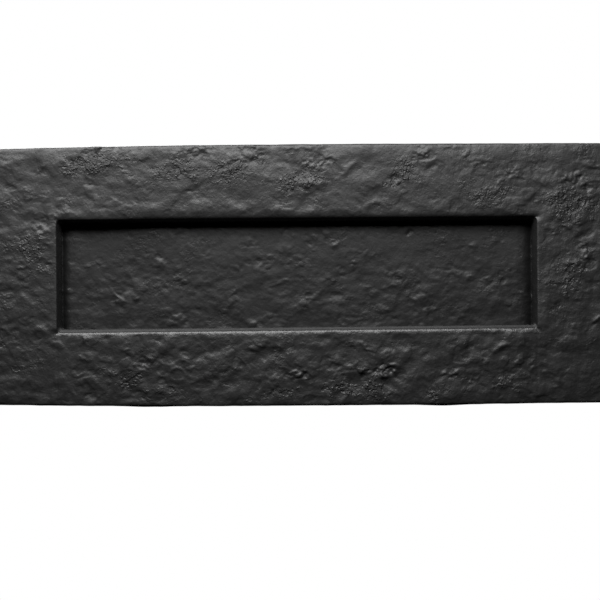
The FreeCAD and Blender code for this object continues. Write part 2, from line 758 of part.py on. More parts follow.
def draw_dome(sketch):
    """A short neck under a quarter circle, drawn beside the axis it turns about."""
    radius, height = value("nut_dome"), value("nut_height")
    shoulder, neck = height - radius, value("nut_hex_height - 0.5")
    centre = Vector(0, shoulder, 0)
    cap = Part.ArcOfCircle(Part.Circle(centre, Vector(0, 0, 1), radius), 0, math.pi / 2)
    corners = [
        Vector(0, height, 0),
        Vector(0, neck, 0),
        Vector(radius, neck, 0),
        Vector(radius, shoulder, 0),
    ]
    lines = [Part.LineSegment(a, b) for a, b in zip(corners, corners[1:])]
    chain = [sketch.addGeometry(g) for g in [cap] + lines]
    join_up(sketch, chain, smooth=chain[-1:])
    pin_point(sketch, "middle", chain[0], CENTRE, "0", "nut_height - nut_dome")
    pin_point(sketch, "crown", chain[1], START, "0", "nut_height")
    pin_point(sketch, "neck", chain[2], START, "0", "nut_hex_height - 0.5")
    pin_point(sketch, "waist", chain[3], START, "nut_dome", "nut_hex_height - 0.5")


# ---------------------------------------------------------------- the whole assembly


def make_all():
    right_hand = [
        make_hinge_bracket(),
        make_thrust_washer(),
        make_rod_clip(),
        make_torsion_spring(),
        make_bracket_screw("right_inner_bracket_screw", 0),
        make_bracket_screw("right_outer_bracket_screw", 1),
        make_fixing_stud(),
        make_door_washer(),
        make_dome_nut(),
    ]
    document.recompute()
    left_hand = [mirror_to_left(piece) for piece in right_hand]
    return [make_face_plate(), make_flap(), make_hinge_rod()] + right_hand + left_hand


def check_document(pieces):
    for thing in document.Objects:
        if {"Invalid", "Error"} & set(thing.State):
            raise RuntimeError(f"{thing.Label} failed: {thing.State}")
    for piece in pieces:
        shape = piece.Shape
        if shape.isNull() or not shape.isValid() or len(shape.Solids) != 1:
            raise RuntimeError(f"{piece.Label} isn't one valid solid")


pieces = make_all()
document.recompute()
check_document(pieces)
os.makedirs("parts", exist_ok=True)
for piece in pieces:
    piece.Shape.exportStep(f"parts/{piece.Label}.step")
    print(f"{piece.Label}: {piece.Shape.Volume:.1f} mm3")
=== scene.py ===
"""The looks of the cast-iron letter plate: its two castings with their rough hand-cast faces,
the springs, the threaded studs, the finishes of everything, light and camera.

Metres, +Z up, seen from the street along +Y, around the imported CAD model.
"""

import json
import math

import bpy
import numpy as np
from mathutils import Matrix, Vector


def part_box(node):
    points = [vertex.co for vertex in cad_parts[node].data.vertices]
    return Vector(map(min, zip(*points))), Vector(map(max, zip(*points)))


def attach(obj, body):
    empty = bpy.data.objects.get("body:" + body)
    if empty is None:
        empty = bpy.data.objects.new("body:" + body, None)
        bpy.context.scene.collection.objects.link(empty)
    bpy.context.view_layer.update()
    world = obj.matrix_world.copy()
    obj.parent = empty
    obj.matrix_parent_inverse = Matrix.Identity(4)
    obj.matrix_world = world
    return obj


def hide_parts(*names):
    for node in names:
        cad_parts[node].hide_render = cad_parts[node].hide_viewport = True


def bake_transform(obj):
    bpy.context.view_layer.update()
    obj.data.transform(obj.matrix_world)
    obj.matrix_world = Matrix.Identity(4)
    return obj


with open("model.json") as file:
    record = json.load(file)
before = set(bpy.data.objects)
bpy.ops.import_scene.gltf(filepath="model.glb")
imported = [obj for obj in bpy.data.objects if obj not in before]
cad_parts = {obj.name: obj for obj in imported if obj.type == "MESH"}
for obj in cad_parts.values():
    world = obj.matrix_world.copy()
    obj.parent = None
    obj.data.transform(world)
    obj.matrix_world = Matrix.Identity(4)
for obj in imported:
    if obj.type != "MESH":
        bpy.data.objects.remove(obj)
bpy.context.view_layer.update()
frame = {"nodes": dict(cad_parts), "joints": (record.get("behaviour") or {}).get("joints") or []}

MM = 0.001
NODES = frame["nodes"]
PLATE_LOW, PLATE_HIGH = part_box("face_plate")
HALF_LENGTH = PLATE_HIGH.x
HALF_HEIGHT = PLATE_HIGH.z
FRONT = PLATE_LOW.y
HINGE = Vector(frame["joints"][0]["pos_m"])

# Lengths below are in millimetres.
APERTURE = (100, 23.5)  # half its length and half its height
PLATE_DEPTH, FLAP_DEPTH = 0.85, 0.55  # how far the mean surface lies behind the CAD's front
VOXEL = 0.38
TRIANGLE_BUDGET = 190_000  # for each casting

COIL_RADIUS, COIL_PITCH, COIL_END, WHOLE_TURNS = 3.1, 0.9, 72, 6
WIRE_RADIUS, WIRE_SIDES = 0.4, 12
FIXED_TIP, MOVING_TIP = (-9.1, 12), (-3.25, -20)  # Y and Z about the hinge axis, at rest

STUD_RADIUS, STUD_SPACING, STUD_SIDES = 3, 232, 48
STUD_START, STUD_TAIL, STUD_END = -6.8, 34, 53.2  # it is threaded up to Y = 0 and from its tail on
THREAD_PITCH, THREAD_DEPTH, STUD_CHAMFER = 1, 0.5, 0.75


# ---------------------------------------------------------------- noise, all in millimetres


def fade(t):
    return t * t * (3 - 2 * t)


def ramp(value, low, high):
    """0 below low, 1 above high and smooth between them."""
    return fade(np.clip((value - low) / (high - low), 0, 1))


def soft_noise(u, v, seed):
    """Gradient noise between about -1 and 1, one lattice cell to a unit."""
    turn = np.random.RandomState(seed).rand(256, 256) * 2 * math.pi
    column, row = np.floor(u).astype(int), np.floor(v).astype(int)
    across, up = u - column, v - row

    def corner(i, j):
        angle = turn[(column + i) % 256, (row + j) % 256]
        return np.cos(angle) * (across - i) + np.sin(angle) * (up - j)

    s, t = fade(across), fade(up)
    low = corner(0, 0) * (1 - s) + corner(1, 0) * s
    high = corner(0, 1) * (1 - s) + corner(1, 1) * s
    return 1.5 * (low * (1 - t) + high * t)


def fractal(u, v, seed, octaves, share=0.5):
    """Soft noise with finer noise on it, each octave a share of the one before."""
    total, size, part = 0, 0, 1
    for octave in range(octaves):
        total = total + part * soft_noise(u * 2**octave, v * 2**octave, seed + octave)
        size += part
        part *= share
    return total / size


def shelves(level, step, width):
    """Turns a smooth level into flat shelves, with ramps between them that take up a share."""
    count = level / step
    shelf = np.floor(count)
    return step * (shelf + ramp(count - shelf, 0.5 - width / 2, 0.5 + width / 2))


def lumps(u, v, seed, tail, steep=1):
    """Scattered oval bumps and dents with flat ground between them, one to a lattice cell.

    A higher tail makes most of them low. Steep ones have flat tops and sharp edges.
    """
    random = np.random.RandomState(seed)
    place = random.rand(2, 128, 128)
    height = random.uniform(-1, 1, (128, 128))
    height = np.sign(height) * np.abs(height) ** tail
    turn = random.uniform(-1.2, 1.2, (128, 128))
    slim = random.uniform(0.45, 1, (128, 128))
    column, row = np.floor(u).astype(int), np.floor(v).astype(int)
    total = 0
    for i in (-1, 0, 1):
        for j in (-1, 0, 1):
            a, b = (column + i) % 128, (row + j) % 128
            du = u - (column + i + place[0][a, b])
            dv = v - (row + j + place[1][a, b])
            c, s = np.cos(turn[a, b]), np.sin(turn[a, b])
            reach = (du * c + dv * s) ** 2 + ((dv * c - du * s) / slim[a, b]) ** 2
            rise = np.clip(1 - reach / 0.8, 0, 1)
            total = total + height[a, b] * fade(np.minimum(steep * rise, 1))
    return total


def blob(x, z, at, size, turn):
    """1 at a point, fading out over an ellipse of those half sizes, turned anticlockwise."""
    c, s = math.cos(math.radians(turn)), math.sin(math.radians(turn))
    dx, dz = x - at[0], z - at[1]
    along, across = (dx * c + dz * s) / size[0], (dz * c - dx * s) / size[1]
    return np.exp(-2 * (along**2 + across**2))


# ---------------------------------------------------------------- the cast surface

# Where the plate is flaky: the middle, the half sizes, the turn in degrees and how much.
FLAKY = [
    ((-88, 46), (16, 6), 5, 1.0), ((-52, 43), (14, 6), 0, 0.9), ((-28, 43), (15, 8), 8, 1.0),
    ((0, 38), (9, 6), 0, 0.9), ((45, 42), (9, 6), 30, 0.8), ((83, 33), (9, 8), 0, 0.8),
    ((111, 29), (11, 10), 0, 1.1), ((-112, 8), (9, 14), 0, 0.5), ((114, 0), (9, 14), 0, 0.8),
    ((-8, -50), (10, 4), 0, 1.0), ((22, -47), (18, 5), 0, 1.1), ((-70, -43), (9, 5), 0, 0.8),
    ((85, -45), (9, 5), 20, 0.7), ((-115, -35), (8, 10), 0, 0.4), ((60, -48), (10, 4), 0, 0.6),
]

# Where the castings are smooth, with only soft swells: the middle and the half sizes.
PLATE_CALM = [
    ((-58, 33), (17, 7)), ((-31, 31), (15, 7)), ((30, 43), (13, 7)), ((23, 31), (10, 6)),
    ((58, 29), (18, 6)), ((86, 45), (16, 6)), ((113, -43), (15, 13)), ((-112, -46), (15, 9)),
    ((-119, 46), (7, 8)), ((-38, -33), (12, 6)), ((50, -34), (12, 5)), ((-112, -18), (10, 6)),
]
FLAP_CALM = [
    ((-84, 9), (14, 8)), ((42, 11), (20, 9)), ((-40, 14), (18, 7)), ((75, 16), (18, 6)),
    ((-20, -16), (14, 5)),
]

# Single marks: the middle, the half sizes, the turn in degrees and the height, or depth if negative.
PLATE_MARKS = [
    ((-111, 47), (6, 1.5), 28, 0.3), ((-113, 37), (3, 1.5), 50, 0.2), ((-111, 25), (3.5, 3), 0, 0.35),
    ((-106, 23), (3, 2.5), 0, 0.3), ((-118, 25), (3, 2.5), 0, 0.3), ((-113, 10), (4, 3), 20, 0.3),
    ((-104, 19), (5, 1.6), 53, 0.3), ((-93, 30), (4, 1.8), 0, -0.35), ((-51, 27), (5, 1.5), 0, -0.3),
    ((-10, 52), (10, 0.8), 4, 0.15), ((1, 48), (5, 2), 0, -0.25), ((-9, 45), (6, 1), -2, 0.2),
    ((0, 45.5), (5, 1), 8, 0.2), ((5, 47), (2.5, 1), 45, 0.2), ((0, 30), (7, 2.2), 3, 0.4),
    ((14, 35), (7, 2), 55, 0.25), ((23, 44), (6, 5), 0, 0.2), ((23, 31), (10, 6), 0, 0.3),
    ((34, 32), (3.5, 2), 20, -0.5), ((38, 29), (3, 1.5), 10, 0.2), ((57, 45), (9, 1.2), 3, 0.2),
    ((64, 42), (3, 1), 45, 0.3), ((70, 38), (5, 0.7), -5, -0.2), ((-65, 43), (12, 8), 0, 0.25),
    ((67, 38), (6, 7), 0, 0.15), ((116, 37), (6, 1.3), -15, 0.35), ((107, 12), (3, 2), 0, 0.3),
    ((103, 15), (2.5, 2), 0, 0.3), ((110, 9), (2.5, 2), 0, 0.3), ((-95, -42), (4, 2.5), 0, 0.35),
    ((-54, -43), (4.5, 2.5), 0, 0.4), ((-14, -38), (2.5, 2), 0, 0.3), ((9, -44), (3.5, 2), 10, 0.4),
    ((21, -38), (6, 1.2), -18, 0.3), ((-73, -43), (1.6, 1.3), 0, 0.35), ((-5, -31), (4, 2), 0, -0.35),
    ((5, -35), (5, 2.2), 5, -0.35), ((14, -32), (3, 1.6), 0, -0.3), ((77, -39), (6.5, 1.6), 33, 0.45),
    ((-77, -29), (3, 1.5), 0, -0.3), ((-70, -30), (4, 2), 10, 0.3), ((-86, -34), (2, 1.3), 20, -0.35),
    ((116, -13), (3, 3), 0, -0.4), ((105, -15), (4, 2.5), 0, 0.35), ((118, -27), (4, 1), 35, 0.35),
    ((108, -30), (3, 1.2), 0, 0.25), ((-109, -2), (4, 1.3), -20, 0.3), ((-121, -4), (4, 1.2), 0, 0.3),
    ((-102, -23), (4, 2), 0, 0.25), ((85, 47), (8, 2.5), -30, -0.2), ((50, 37), (3, 1.5), 30, -0.3),
    ((-35, 36), (6, 1.5), 25, 0.2),
]

FLAP_MARKS = [
    ((14, 10), (1.8, 1.4), 0, 0.3), ((-6, 8), (5, 3), 0, 0.25), ((-77, -10), (3.5, 1.8), 0, -0.35),
    ((-77, -12.5), (5, 1.3), -25, 0.3), ((-70, -12), (3, 1.4), 28, 0.3), ((82, -14), (6, 4.5), 0, 0.2),
    ((-9, -5.5), (7, 1.4), 15, 0.2), ((5, -12), (4.5, 1.3), 40, 0.25), ((45, 15), (1.3, 1), 0, -0.3),
    ((21, 2), (1.3, 1.1), 0, -0.3), ((-72, 2), (4, 2), 20, -0.2), ((-60, 3), (3, 1.6), -35, 0.25),
    ((36, -8), (5, 1.2), 20, 0.2), ((68, 8), (4, 2), 0, -0.2), ((-30, -14), (3, 1.5), 30, 0.2),
]


def add_marks(x, z, marks, seed):
    """The sum of single marks, with ragged outlines."""
    wander = 1.5 * fractal(x / 3, z / 2.5, seed, 2)
    return sum(height * blob(x + wander, z + wander, at, size, turn)
               for at, size, turn, height in marks)


def calmness(x, z, places):
    """1 where a casting is smooth, falling to 0 elsewhere."""
    wander = 3 * fractal(x / 9, z / 6, 103, 3)
    return np.max([blob(x + wander, z + 0.6 * wander, at, size, 0) for at, size in places], axis=0)


def flakiness(x, z):
    """How flaky the plate's surface is, from 0 to about 1."""
    wander = 6 * fractal(x / 9, z / 6, 101, 3)
    listed = np.max([much * blob(x + wander, z + 0.6 * wander, at, size, turn)
                     for at, size, turn, much in FLAKY], axis=0)
    patchy = ramp(fractal(x / 13, z / 9, 43, 3), 0.05, 0.3) * (1 - calmness(x, z, PLATE_CALM))
    return np.clip(listed + 0.4 * patchy, 0, 1.2)


def plate_relief(x, z):
    """The plate's height: rounded lumps and dents at every size, with flaky patches."""
    u = x + 1.3 * fractal(x / 8, z / 7, 11, 2)
    v = z + 1.3 * fractal(x / 8, z / 7, 17, 2)
    flaky = flakiness(x, z)
    crisp = ramp(flaky, 0.35, 0.9)
    at_end = ramp(np.abs(x), 90, 110)
    rougher = 1.1 + 0.4 * ramp(-z, 10, 30) - 0.12 * ramp(z, 20, 30) - 0.1 * ramp(-x, 90, 110)
    rougher *= 1 - 0.7 * calmness(x, z, PLATE_CALM)
    swell = (0.30 + 0.2 * at_end) * fractal(x / 28, z / 20, 23, 2)
    soft = (0.25 + 0.15 * at_end) * fractal(u / 11, v / 9, 29, 2) + 0.30 * lumps(u / 7.5, v / 6.8, 31, 2)
    stepped = ramp(fractal(x / 17, z / 12, 28, 2), -0.2, 0.3)
    ledges = (0.1 + 0.25 * stepped) * shelves(fractal(u / 14, v / 11, 30, 3), 0.35, 0.25)
    middle = (0.09 + 0.2 * flaky) * lumps(u / 3.6, v / 3.3, 32, 2, 1.7)
    small = (0.02 + 0.18 * crisp) * lumps(x / 1.9, z / 1.7, 33, 1.5, 2.5)
    grain = 0.11 * crisp * lumps(x / 1.1, z / 1.0, 34, 1) + 0.04 * fractal(x / 2.4, z / 2.1, 41, 3, 0.55)
    single = 1.15 * add_marks(x, z, PLATE_MARKS, 5)
    return swell + rougher * (soft + ledges + middle + small + grain) + single


def flap_relief(x, z):
    """The flap's height: smoother than the plate's, and rougher towards its lower edge."""
    u = x + 1.3 * fractal(x / 8, z / 7, 51, 2)
    v = z + 1.3 * fractal(x / 8, z / 7, 53, 2)
    low = ramp(-z, -12, 8)
    patch = ramp(fractal(x / 12, z / 8, 67, 3), 0, 0.35)
    soft = 0.27 * fractal(x / 26, z / 16, 57, 2) + (0.10 + 0.14 * low) * fractal(u / 11, v / 9, 59, 2)
    large = (0.05 + 0.22 * low) * lumps(u / 7.5, v / 6.8, 61, 2)
    middle = (0.04 + 0.07 * low + 0.11 * patch) * lumps(u / 3.6, v / 3.1, 62, 2)
    small = (0.015 + 0.10 * patch + 0.05 * low) * lumps(x / 1.9, z / 1.7, 63, 2, 2)
    grain = (0.035 + 0.02 * low) * fractal(x / 2.4, z / 2.1, 71, 3, 0.55)
    rougher = 0.95 - 0.65 * calmness(x, z, FLAP_CALM)
    return soft + rougher * (large + middle + small + grain) + add_marks(x, z, FLAP_MARKS, 6)


def past_lip(x, z):
    """How far a point lies outside the aperture's two pairs of lips, or inside if negative."""
    return np.maximum(np.abs(x) - APERTURE[0], np.abs(z) - APERTURE[1])


def on_walls(x, z):
    """1 on the aperture's walls and lips, falling to 0 on the front around them."""
    return ramp(past_lip(x, z), 2, 1.5)


def dip(distance, depth, reach):
    """A roll-off: this deep at the edge itself, and none beyond its reach."""
    return depth * np.clip(1 - distance / reach, 0, 1) ** 2


def rolled_edges(x, z):
    """How far the plate's front rolls back towards its outer edges and the aperture's lips."""
    bow = np.where(x < 0, 1.4, 0.5)
    half_height = HALF_HEIGHT / MM - bow * (x * MM / HALF_LENGTH) ** 2
    to_end = HALF_LENGTH / MM - np.abs(x)
    outer = np.maximum(dip(half_height - z, 0.55, 6.5), dip(half_height + z, 0.35, 6))
    outer = np.maximum(outer, dip(to_end, 0.5, 6.5))
    beyond = np.maximum(np.abs(x) - APERTURE[0], 0)
    above, below = z - APERTURE[1], -z - APERTURE[1]
    soft = 0.35 + 0.65 * ramp(x, -80, -55)
    upper = soft * (dip(np.hypot(above, beyond), 0.75, 4) + dip(np.hypot(above, beyond), 0.35, 1.5))
    lower = dip(np.hypot(below, beyond), 0.15, 5) + dip(np.hypot(below, beyond), 0.55, 2.4)
    sides = dip(np.hypot(np.abs(x) - APERTURE[0], np.maximum(above, 0)), 0.12, 1)
    lips = upper * ramp(above, -3, 0.5) + lower * ramp(below, -3, 0.5)
    return outer + np.maximum(lips, sides)


def apply_modifiers(piece):
    """Makes a piece's modifiers part of its mesh."""
    graph = bpy.context.evaluated_depsgraph_get()
    graph.update()
    mesh = bpy.data.meshes.new_from_object(piece.evaluated_get(graph))
    piece.modifiers.clear()
    old = piece.data
    piece.data = mesh
    bpy.data.meshes.remove(old)


def remeshed(node, voxel):
    """An even fine mesh of a CAD node's shape, as a new object."""
    copy = bpy.data.objects.new(node + "_cast", NODES[node].data.copy())
    bpy.context.scene.collection.objects.link(copy)
    modifier = copy.modifiers.new("even", "REMESH")
    modifier.mode = "VOXEL"
    modifier.voxel_size = voxel
    apply_modifiers(copy)
    return copy


def read_points(mesh):
    """Places and normals of a mesh's vertices, with the places in millimetres."""
    places = np.empty(3 * len(mesh.vertices))
    normals = np.empty(3 * len(mesh.vertices))
    mesh.vertices.foreach_get("co", places)
    mesh.vertex_normals.foreach_get("vector", normals)
    return places.reshape(-1, 3) / MM, normals.reshape(-1, 3)


def reshape(piece, shift):
    """Moves each vertex by a shift in millimetres, and thins the mesh to its budget."""
    places, normals = read_points(piece.data)
    places += shift(places, normals)
    piece.data.vertices.foreach_set("co", (places * MM).ravel())
    piece.data.update()
    triangles = 2 * len(piece.data.polygons)
    if triangles > TRIANGLE_BUDGET:
        thin = piece.modifiers.new("thin", "DECIMATE")
        thin.ratio = TRIANGLE_BUDGET / triangles
        apply_modifiers(piece)
    piece.data.shade_smooth()


def sunk(depth, relief, clearance=0.1):
    """The relief as a distance behind the CAD's front, which its highest points never reach."""
    return np.maximum(depth - relief, clearance * np.exp(np.minimum(depth - clearance - relief, 0)))


def plate_shift(places, normals):
    """How the plate's surface lies back from its CAD shape."""
    x, y, z = places.T
    # Shearing the relief by y keeps it from running in streaks across the edges.
    relief = plate_relief(x + 0.7 * y, z + 0.8 * y)
    from_lip = np.hypot(np.maximum(np.abs(x) - APERTURE[0], 0), np.maximum(np.abs(z) - APERTURE[1], 0))
    relief *= 1 - 0.75 * np.clip(1.2 - from_lip / 3, 0, 1)
    shift = np.zeros_like(places)
    shift[:, 1] = ramp(-y, 5.6, 9.4) * (sunk(PLATE_DEPTH, relief) + rolled_edges(x, z))
    shift[:, 2] = lower_lip(x, y, z)

    rim = ramp(np.maximum(np.abs(z) - 51, np.abs(x) - 130), 0, 1)
    # The lower edge bulges out at two places.
    full = blob(x, z, (-62, -55), (16, 9), 0) + 1.2 * blob(x, z, (62, -55), (14, 9), 0)
    sides = rim * (0.42 - 0.35 * full - 0.15 * np.clip(relief, -1, 1))
    sides += on_walls(x, z) * (0.15 + 0.09 * fractal((x + z) / 4, y / 4, 73, 2))
    facing_sideways = 1 - ramp(-normals[:, 1], 0.3, 0.9)
    return shift - normals * (sides * facing_sideways)[:, None]


def lower_lip(x, y, z):
    """How far the aperture's lower lip lies above its CAD shape: it slopes and is well rounded."""
    near = ramp(z, -29, -24.5) * ramp(-z, 15, 18) * ramp(101.5 - np.abs(x), 0, 2.5)
    raised = (1.05 + 0.004 * x) * ramp(-y, 3.5, 7.5)
    return near * (raised - 0.5 * np.clip((-y - 7) / 2.2, 0, 1) ** 2)


def flap_shift(places, normals):
    """How the flap's surface lies back from its CAD shape."""
    x, y, z = places.T
    # The rim that closes on the plate's seat stays plain.
    inside = ramp(-past_lip(x, z), -1, 1.5)
    relief = flap_relief(x + 0.7 * y, z + 0.8 * y)
    ends = dip(98.6 - np.abs(x), 0.9, 3.5)
    shift = np.zeros_like(places)
    shift[:, 1] = ramp(-y, 0.5, 2.9) * inside * (sunk(FLAP_DEPTH, relief, 0.08) + ends)
    return shift


def plate_gloss(x, y, z):
    """Where the wax lies smoother, up to 1, or rougher, down to -1.

    The aperture's lower wall is rougher, with dust on it, and its lower lip and other walls smoother.
    """
    inside = ramp(y, -8.6, -7.8)
    return on_walls(x, z) * np.where(z < -21.5, 0.5 - 1.1 * inside, 0.95 * inside)


def flap_gloss(x, y, z):
    """The flap is smoother only at its ends, where the plate's walls shelter it."""
    right = np.clip(1.2 - (98 - x) / 5, 0, 1)
    left = np.clip(1 - (98 + x) / 3, 0, 1)
    return 0.85 * np.maximum(right, 0.8 * left)


def make_casting(node, body, shift, gloss, material):
    """A casting in place of its CAD node, with its flakiness and gloss kept on its vertices."""
    casting = remeshed(node, VOXEL * MM)
    reshape(casting, shift)
    places, normals = read_points(casting.data)
    x, y, z = places.T
    facing = 0.3 + 0.7 * ramp(-normals[:, 1], 0, 0.5)
    smooth = gloss(x, y, z)
    flaky = facing * flakiness(x, z) * (1 - np.abs(smooth))
    for name, values in (("flaky", flaky), ("gloss", smooth)):
        attribute = casting.data.attributes.new(name, "FLOAT", "POINT")
        attribute.data.foreach_set("value", values)
    finish(casting, material, body, node)


# ---------------------------------------------------------------- springs and studs


def skin(name, rings):
    """A closed piece through a stack of rings of points, given in millimetres."""
    stack, sides = rings.shape[:2]
    rows = np.arange(stack * sides).reshape(stack, sides)
    quads = [
        (rows[i, j], rows[i, (j + 1) % sides], rows[i + 1, (j + 1) % sides], rows[i + 1, j])
        for i in range(stack - 1)
        for j in range(sides)
    ]
    caps = [tuple(rows[0][::-1]), tuple(rows[-1])]
    points = (rings.reshape(-1, 3) * MM).tolist()
    faces = [tuple(map(int, face)) for face in quads + caps]
    mesh = bpy.data.meshes.new(name)
    mesh.from_pydata(points, [], faces)
    mesh.update()
    mesh.shade_smooth()
    for cap in mesh.polygons[-2:]:
        cap.use_smooth = False
    piece = bpy.data.objects.new(name, mesh)
    bpy.context.scene.collection.objects.link(piece)
    return piece


def tube_rings(path, radius, sides):
    """Circles square to a path, without twist between them."""
    ahead = np.gradient(path, axis=0)
    ahead /= np.linalg.norm(ahead, axis=1)[:, None]
    across = np.cross(ahead[0], (1, 0, 0))
    turns = np.linspace(0, 2 * math.pi, sides, endpoint=False)[:, None]
    rings = []
    for centre, direction in zip(path, ahead):
        across = across - direction * np.dot(across, direction)
        across /= np.linalg.norm(across)
        up = np.cross(direction, across)
        rings.append(centre + radius * (np.cos(turns) * across + np.sin(turns) * up))
    return np.array(rings)


def spring_path():
    """The right-hand spring's wire from its fixed tip to its moving tip, in millimetres, and
    where its coil starts along X."""
    reach = [math.hypot(*tip) for tip in (FIXED_TIP, MOVING_TIP)]
    first = math.atan2(FIXED_TIP[1], FIXED_TIP[0]) + math.acos(COIL_RADIUS / reach[0])
    last = math.atan2(MOVING_TIP[1], MOVING_TIP[0]) - math.acos(COIL_RADIUS / reach[1])
    wound = (last - first) % (2 * math.pi) + 2 * WHOLE_TURNS * math.pi
    start = COIL_END - COIL_PITCH * wound / (2 * math.pi)
    angle = np.linspace(first, first + wound, 260)
    along = start + COIL_PITCH * (angle - first) / (2 * math.pi)
    coil = np.stack([along, COIL_RADIUS * np.cos(angle), COIL_RADIUS * np.sin(angle)], axis=1)

    def leg(at, angle, length):
        """The straight wire that leaves the coil here, forwards or backwards."""
        slope = COIL_PITCH / (2 * math.pi * COIL_RADIUS)
        forward = np.array([slope, -math.sin(angle), math.cos(angle)])
        return at + forward * np.linspace(0, length, 24)[1:, None]

    fixed = leg(coil[0], first, -math.sqrt(reach[0] ** 2 - COIL_RADIUS**2))
    moving = leg(coil[-1], first + wound, math.sqrt(reach[1] ** 2 - COIL_RADIUS**2))
    path = np.concatenate([fixed[::-1], coil, moving])
    return path + np.array(HINGE) / MM * (0, 1, 1), start


def make_springs(material):
    path, start = spring_path()
    rings = tube_rings(path, WIRE_RADIUS, WIRE_SIDES)
    for hand, side in (("left", -1), ("right", 1)):
        turned = rings * (side, 1, 1)
        spring = skin(f"{hand}_spring_wire", turned if side < 0 else turned[:, ::-1])
        spring.data.materials.append(material)
        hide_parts(f"{hand}_torsion_spring")
        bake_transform(spring)


def stud_radius(y, turn):
    """A stud's radius at points along it, with its rolled threads, in millimetres."""
    wave = np.abs(2 * ((y / THREAD_PITCH - turn / (2 * math.pi)) % 1) - 1)
    groove = np.clip((wave - 0.12) / 0.72, 0, 1)
    threaded = 1 - ramp(y, -0.8, 0) + ramp(y, STUD_TAIL, STUD_TAIL + 0.8)
    cut = STUD_RADIUS - (0.07 + THREAD_DEPTH * groove) * threaded
    to_end = np.minimum(y - STUD_START, STUD_END - y)
    return np.minimum(cut, STUD_RADIUS - STUD_CHAMFER + to_end)


def make_studs(material):
    turn = np.linspace(0, 2 * math.pi, STUD_SIDES, endpoint=False)[None]
    step = THREAD_PITCH / 10
    buried = np.arange(STUD_START, 0.4, step)
    shank = np.linspace(1, STUD_TAIL - 1, 9)
    tail = np.append(np.arange(STUD_TAIL - 0.2, STUD_END, step), STUD_END)
    y = np.concatenate([buried, shank, tail])[:, None]
    radius = stud_radius(y, turn)
    for hand, side in (("left", -1), ("right", 1)):
        x = side * STUD_SPACING / 2 + radius * np.cos(turn)
        rings = np.stack([x, y + 0 * turn, radius * np.sin(turn)], axis=2)
        stud = skin(f"{hand}_stud", rings[:, ::-1])
        finish(stud, material, "frame", f"{hand}_fixing_stud")


# ---------------------------------------------------------------- materials


def new_material(name, slot_colour, metallic, roughness):
    """A Principled material, and its tree, shader and the object's coordinates."""
    material = bpy.data.materials.new(name)
    material.use_nodes = True
    tree = material.node_tree
    shader = tree.nodes["Principled BSDF"]
    shader.inputs["Metallic"].default_value = metallic
    shader.inputs["Base Color"].default_value = (*slot_colour, 1)
    shader.inputs["Roughness"].default_value = roughness
    return material, tree, shader, tree.nodes.new("ShaderNodeTexCoord").outputs["Object"]


def noise_node(tree, coordinates, scale, detail=4, roughness=0.6):
    node = tree.nodes.new("ShaderNodeTexNoise")
    node.inputs["Scale"].default_value = scale
    node.inputs["Detail"].default_value = detail
    node.inputs["Roughness"].default_value = roughness
    tree.links.new(coordinates, node.inputs["Vector"])
    return node.outputs["Fac"]


def attribute_node(tree, name):
    node = tree.nodes.new("ShaderNodeAttribute")
    node.attribute_name = name
    return node.outputs["Fac"]


def ramp_node(tree, value, low, high, first, last):
    """Maps low..high of a value to first..last, which are both numbers or both colours."""
    if isinstance(first, tuple):
        node = tree.nodes.new("ShaderNodeValToRGB")
        node.color_ramp.elements[0].position = low
        node.color_ramp.elements[1].position = high
        node.color_ramp.elements[0].color = (*first, 1)
        node.color_ramp.elements[1].color = (*last, 1)
        tree.links.new(value, node.inputs["Fac"])
        return node.outputs["Color"]
    node = tree.nodes.new("ShaderNodeMapRange")
    for name, number in zip(("From Min", "From Max", "To Min", "To Max"), (low, high, first, last)):
        node.inputs[name].default_value = number
    tree.links.new(value, node.inputs["Value"])
    return node.outputs["Result"]


def add_bump(tree, shader, height, distance, strength=1.0, below=None):
    """Bumps of this height and distance in metres, on top of any bumps below."""
    node = tree.nodes.new("ShaderNodeBump")
    node.inputs["Distance"].default_value = distance
    node.inputs["Strength"].default_value = strength
    tree.links.new(height, node.inputs["Height"])
    if below:
        tree.links.new(below, node.inputs["Normal"])
    tree.links.new(node.outputs["Normal"], shader.inputs["Normal"])
    return node.outputs["Normal"]


def math_node(tree, operation, first, second):
    """Sum, product or the like of two outputs."""
    node = tree.nodes.new("ShaderNodeMath")
    node.operation = operation
    tree.links.new(first, node.inputs[0])
    tree.links.new(second, node.inputs[1])
    return node.outputs["Value"]


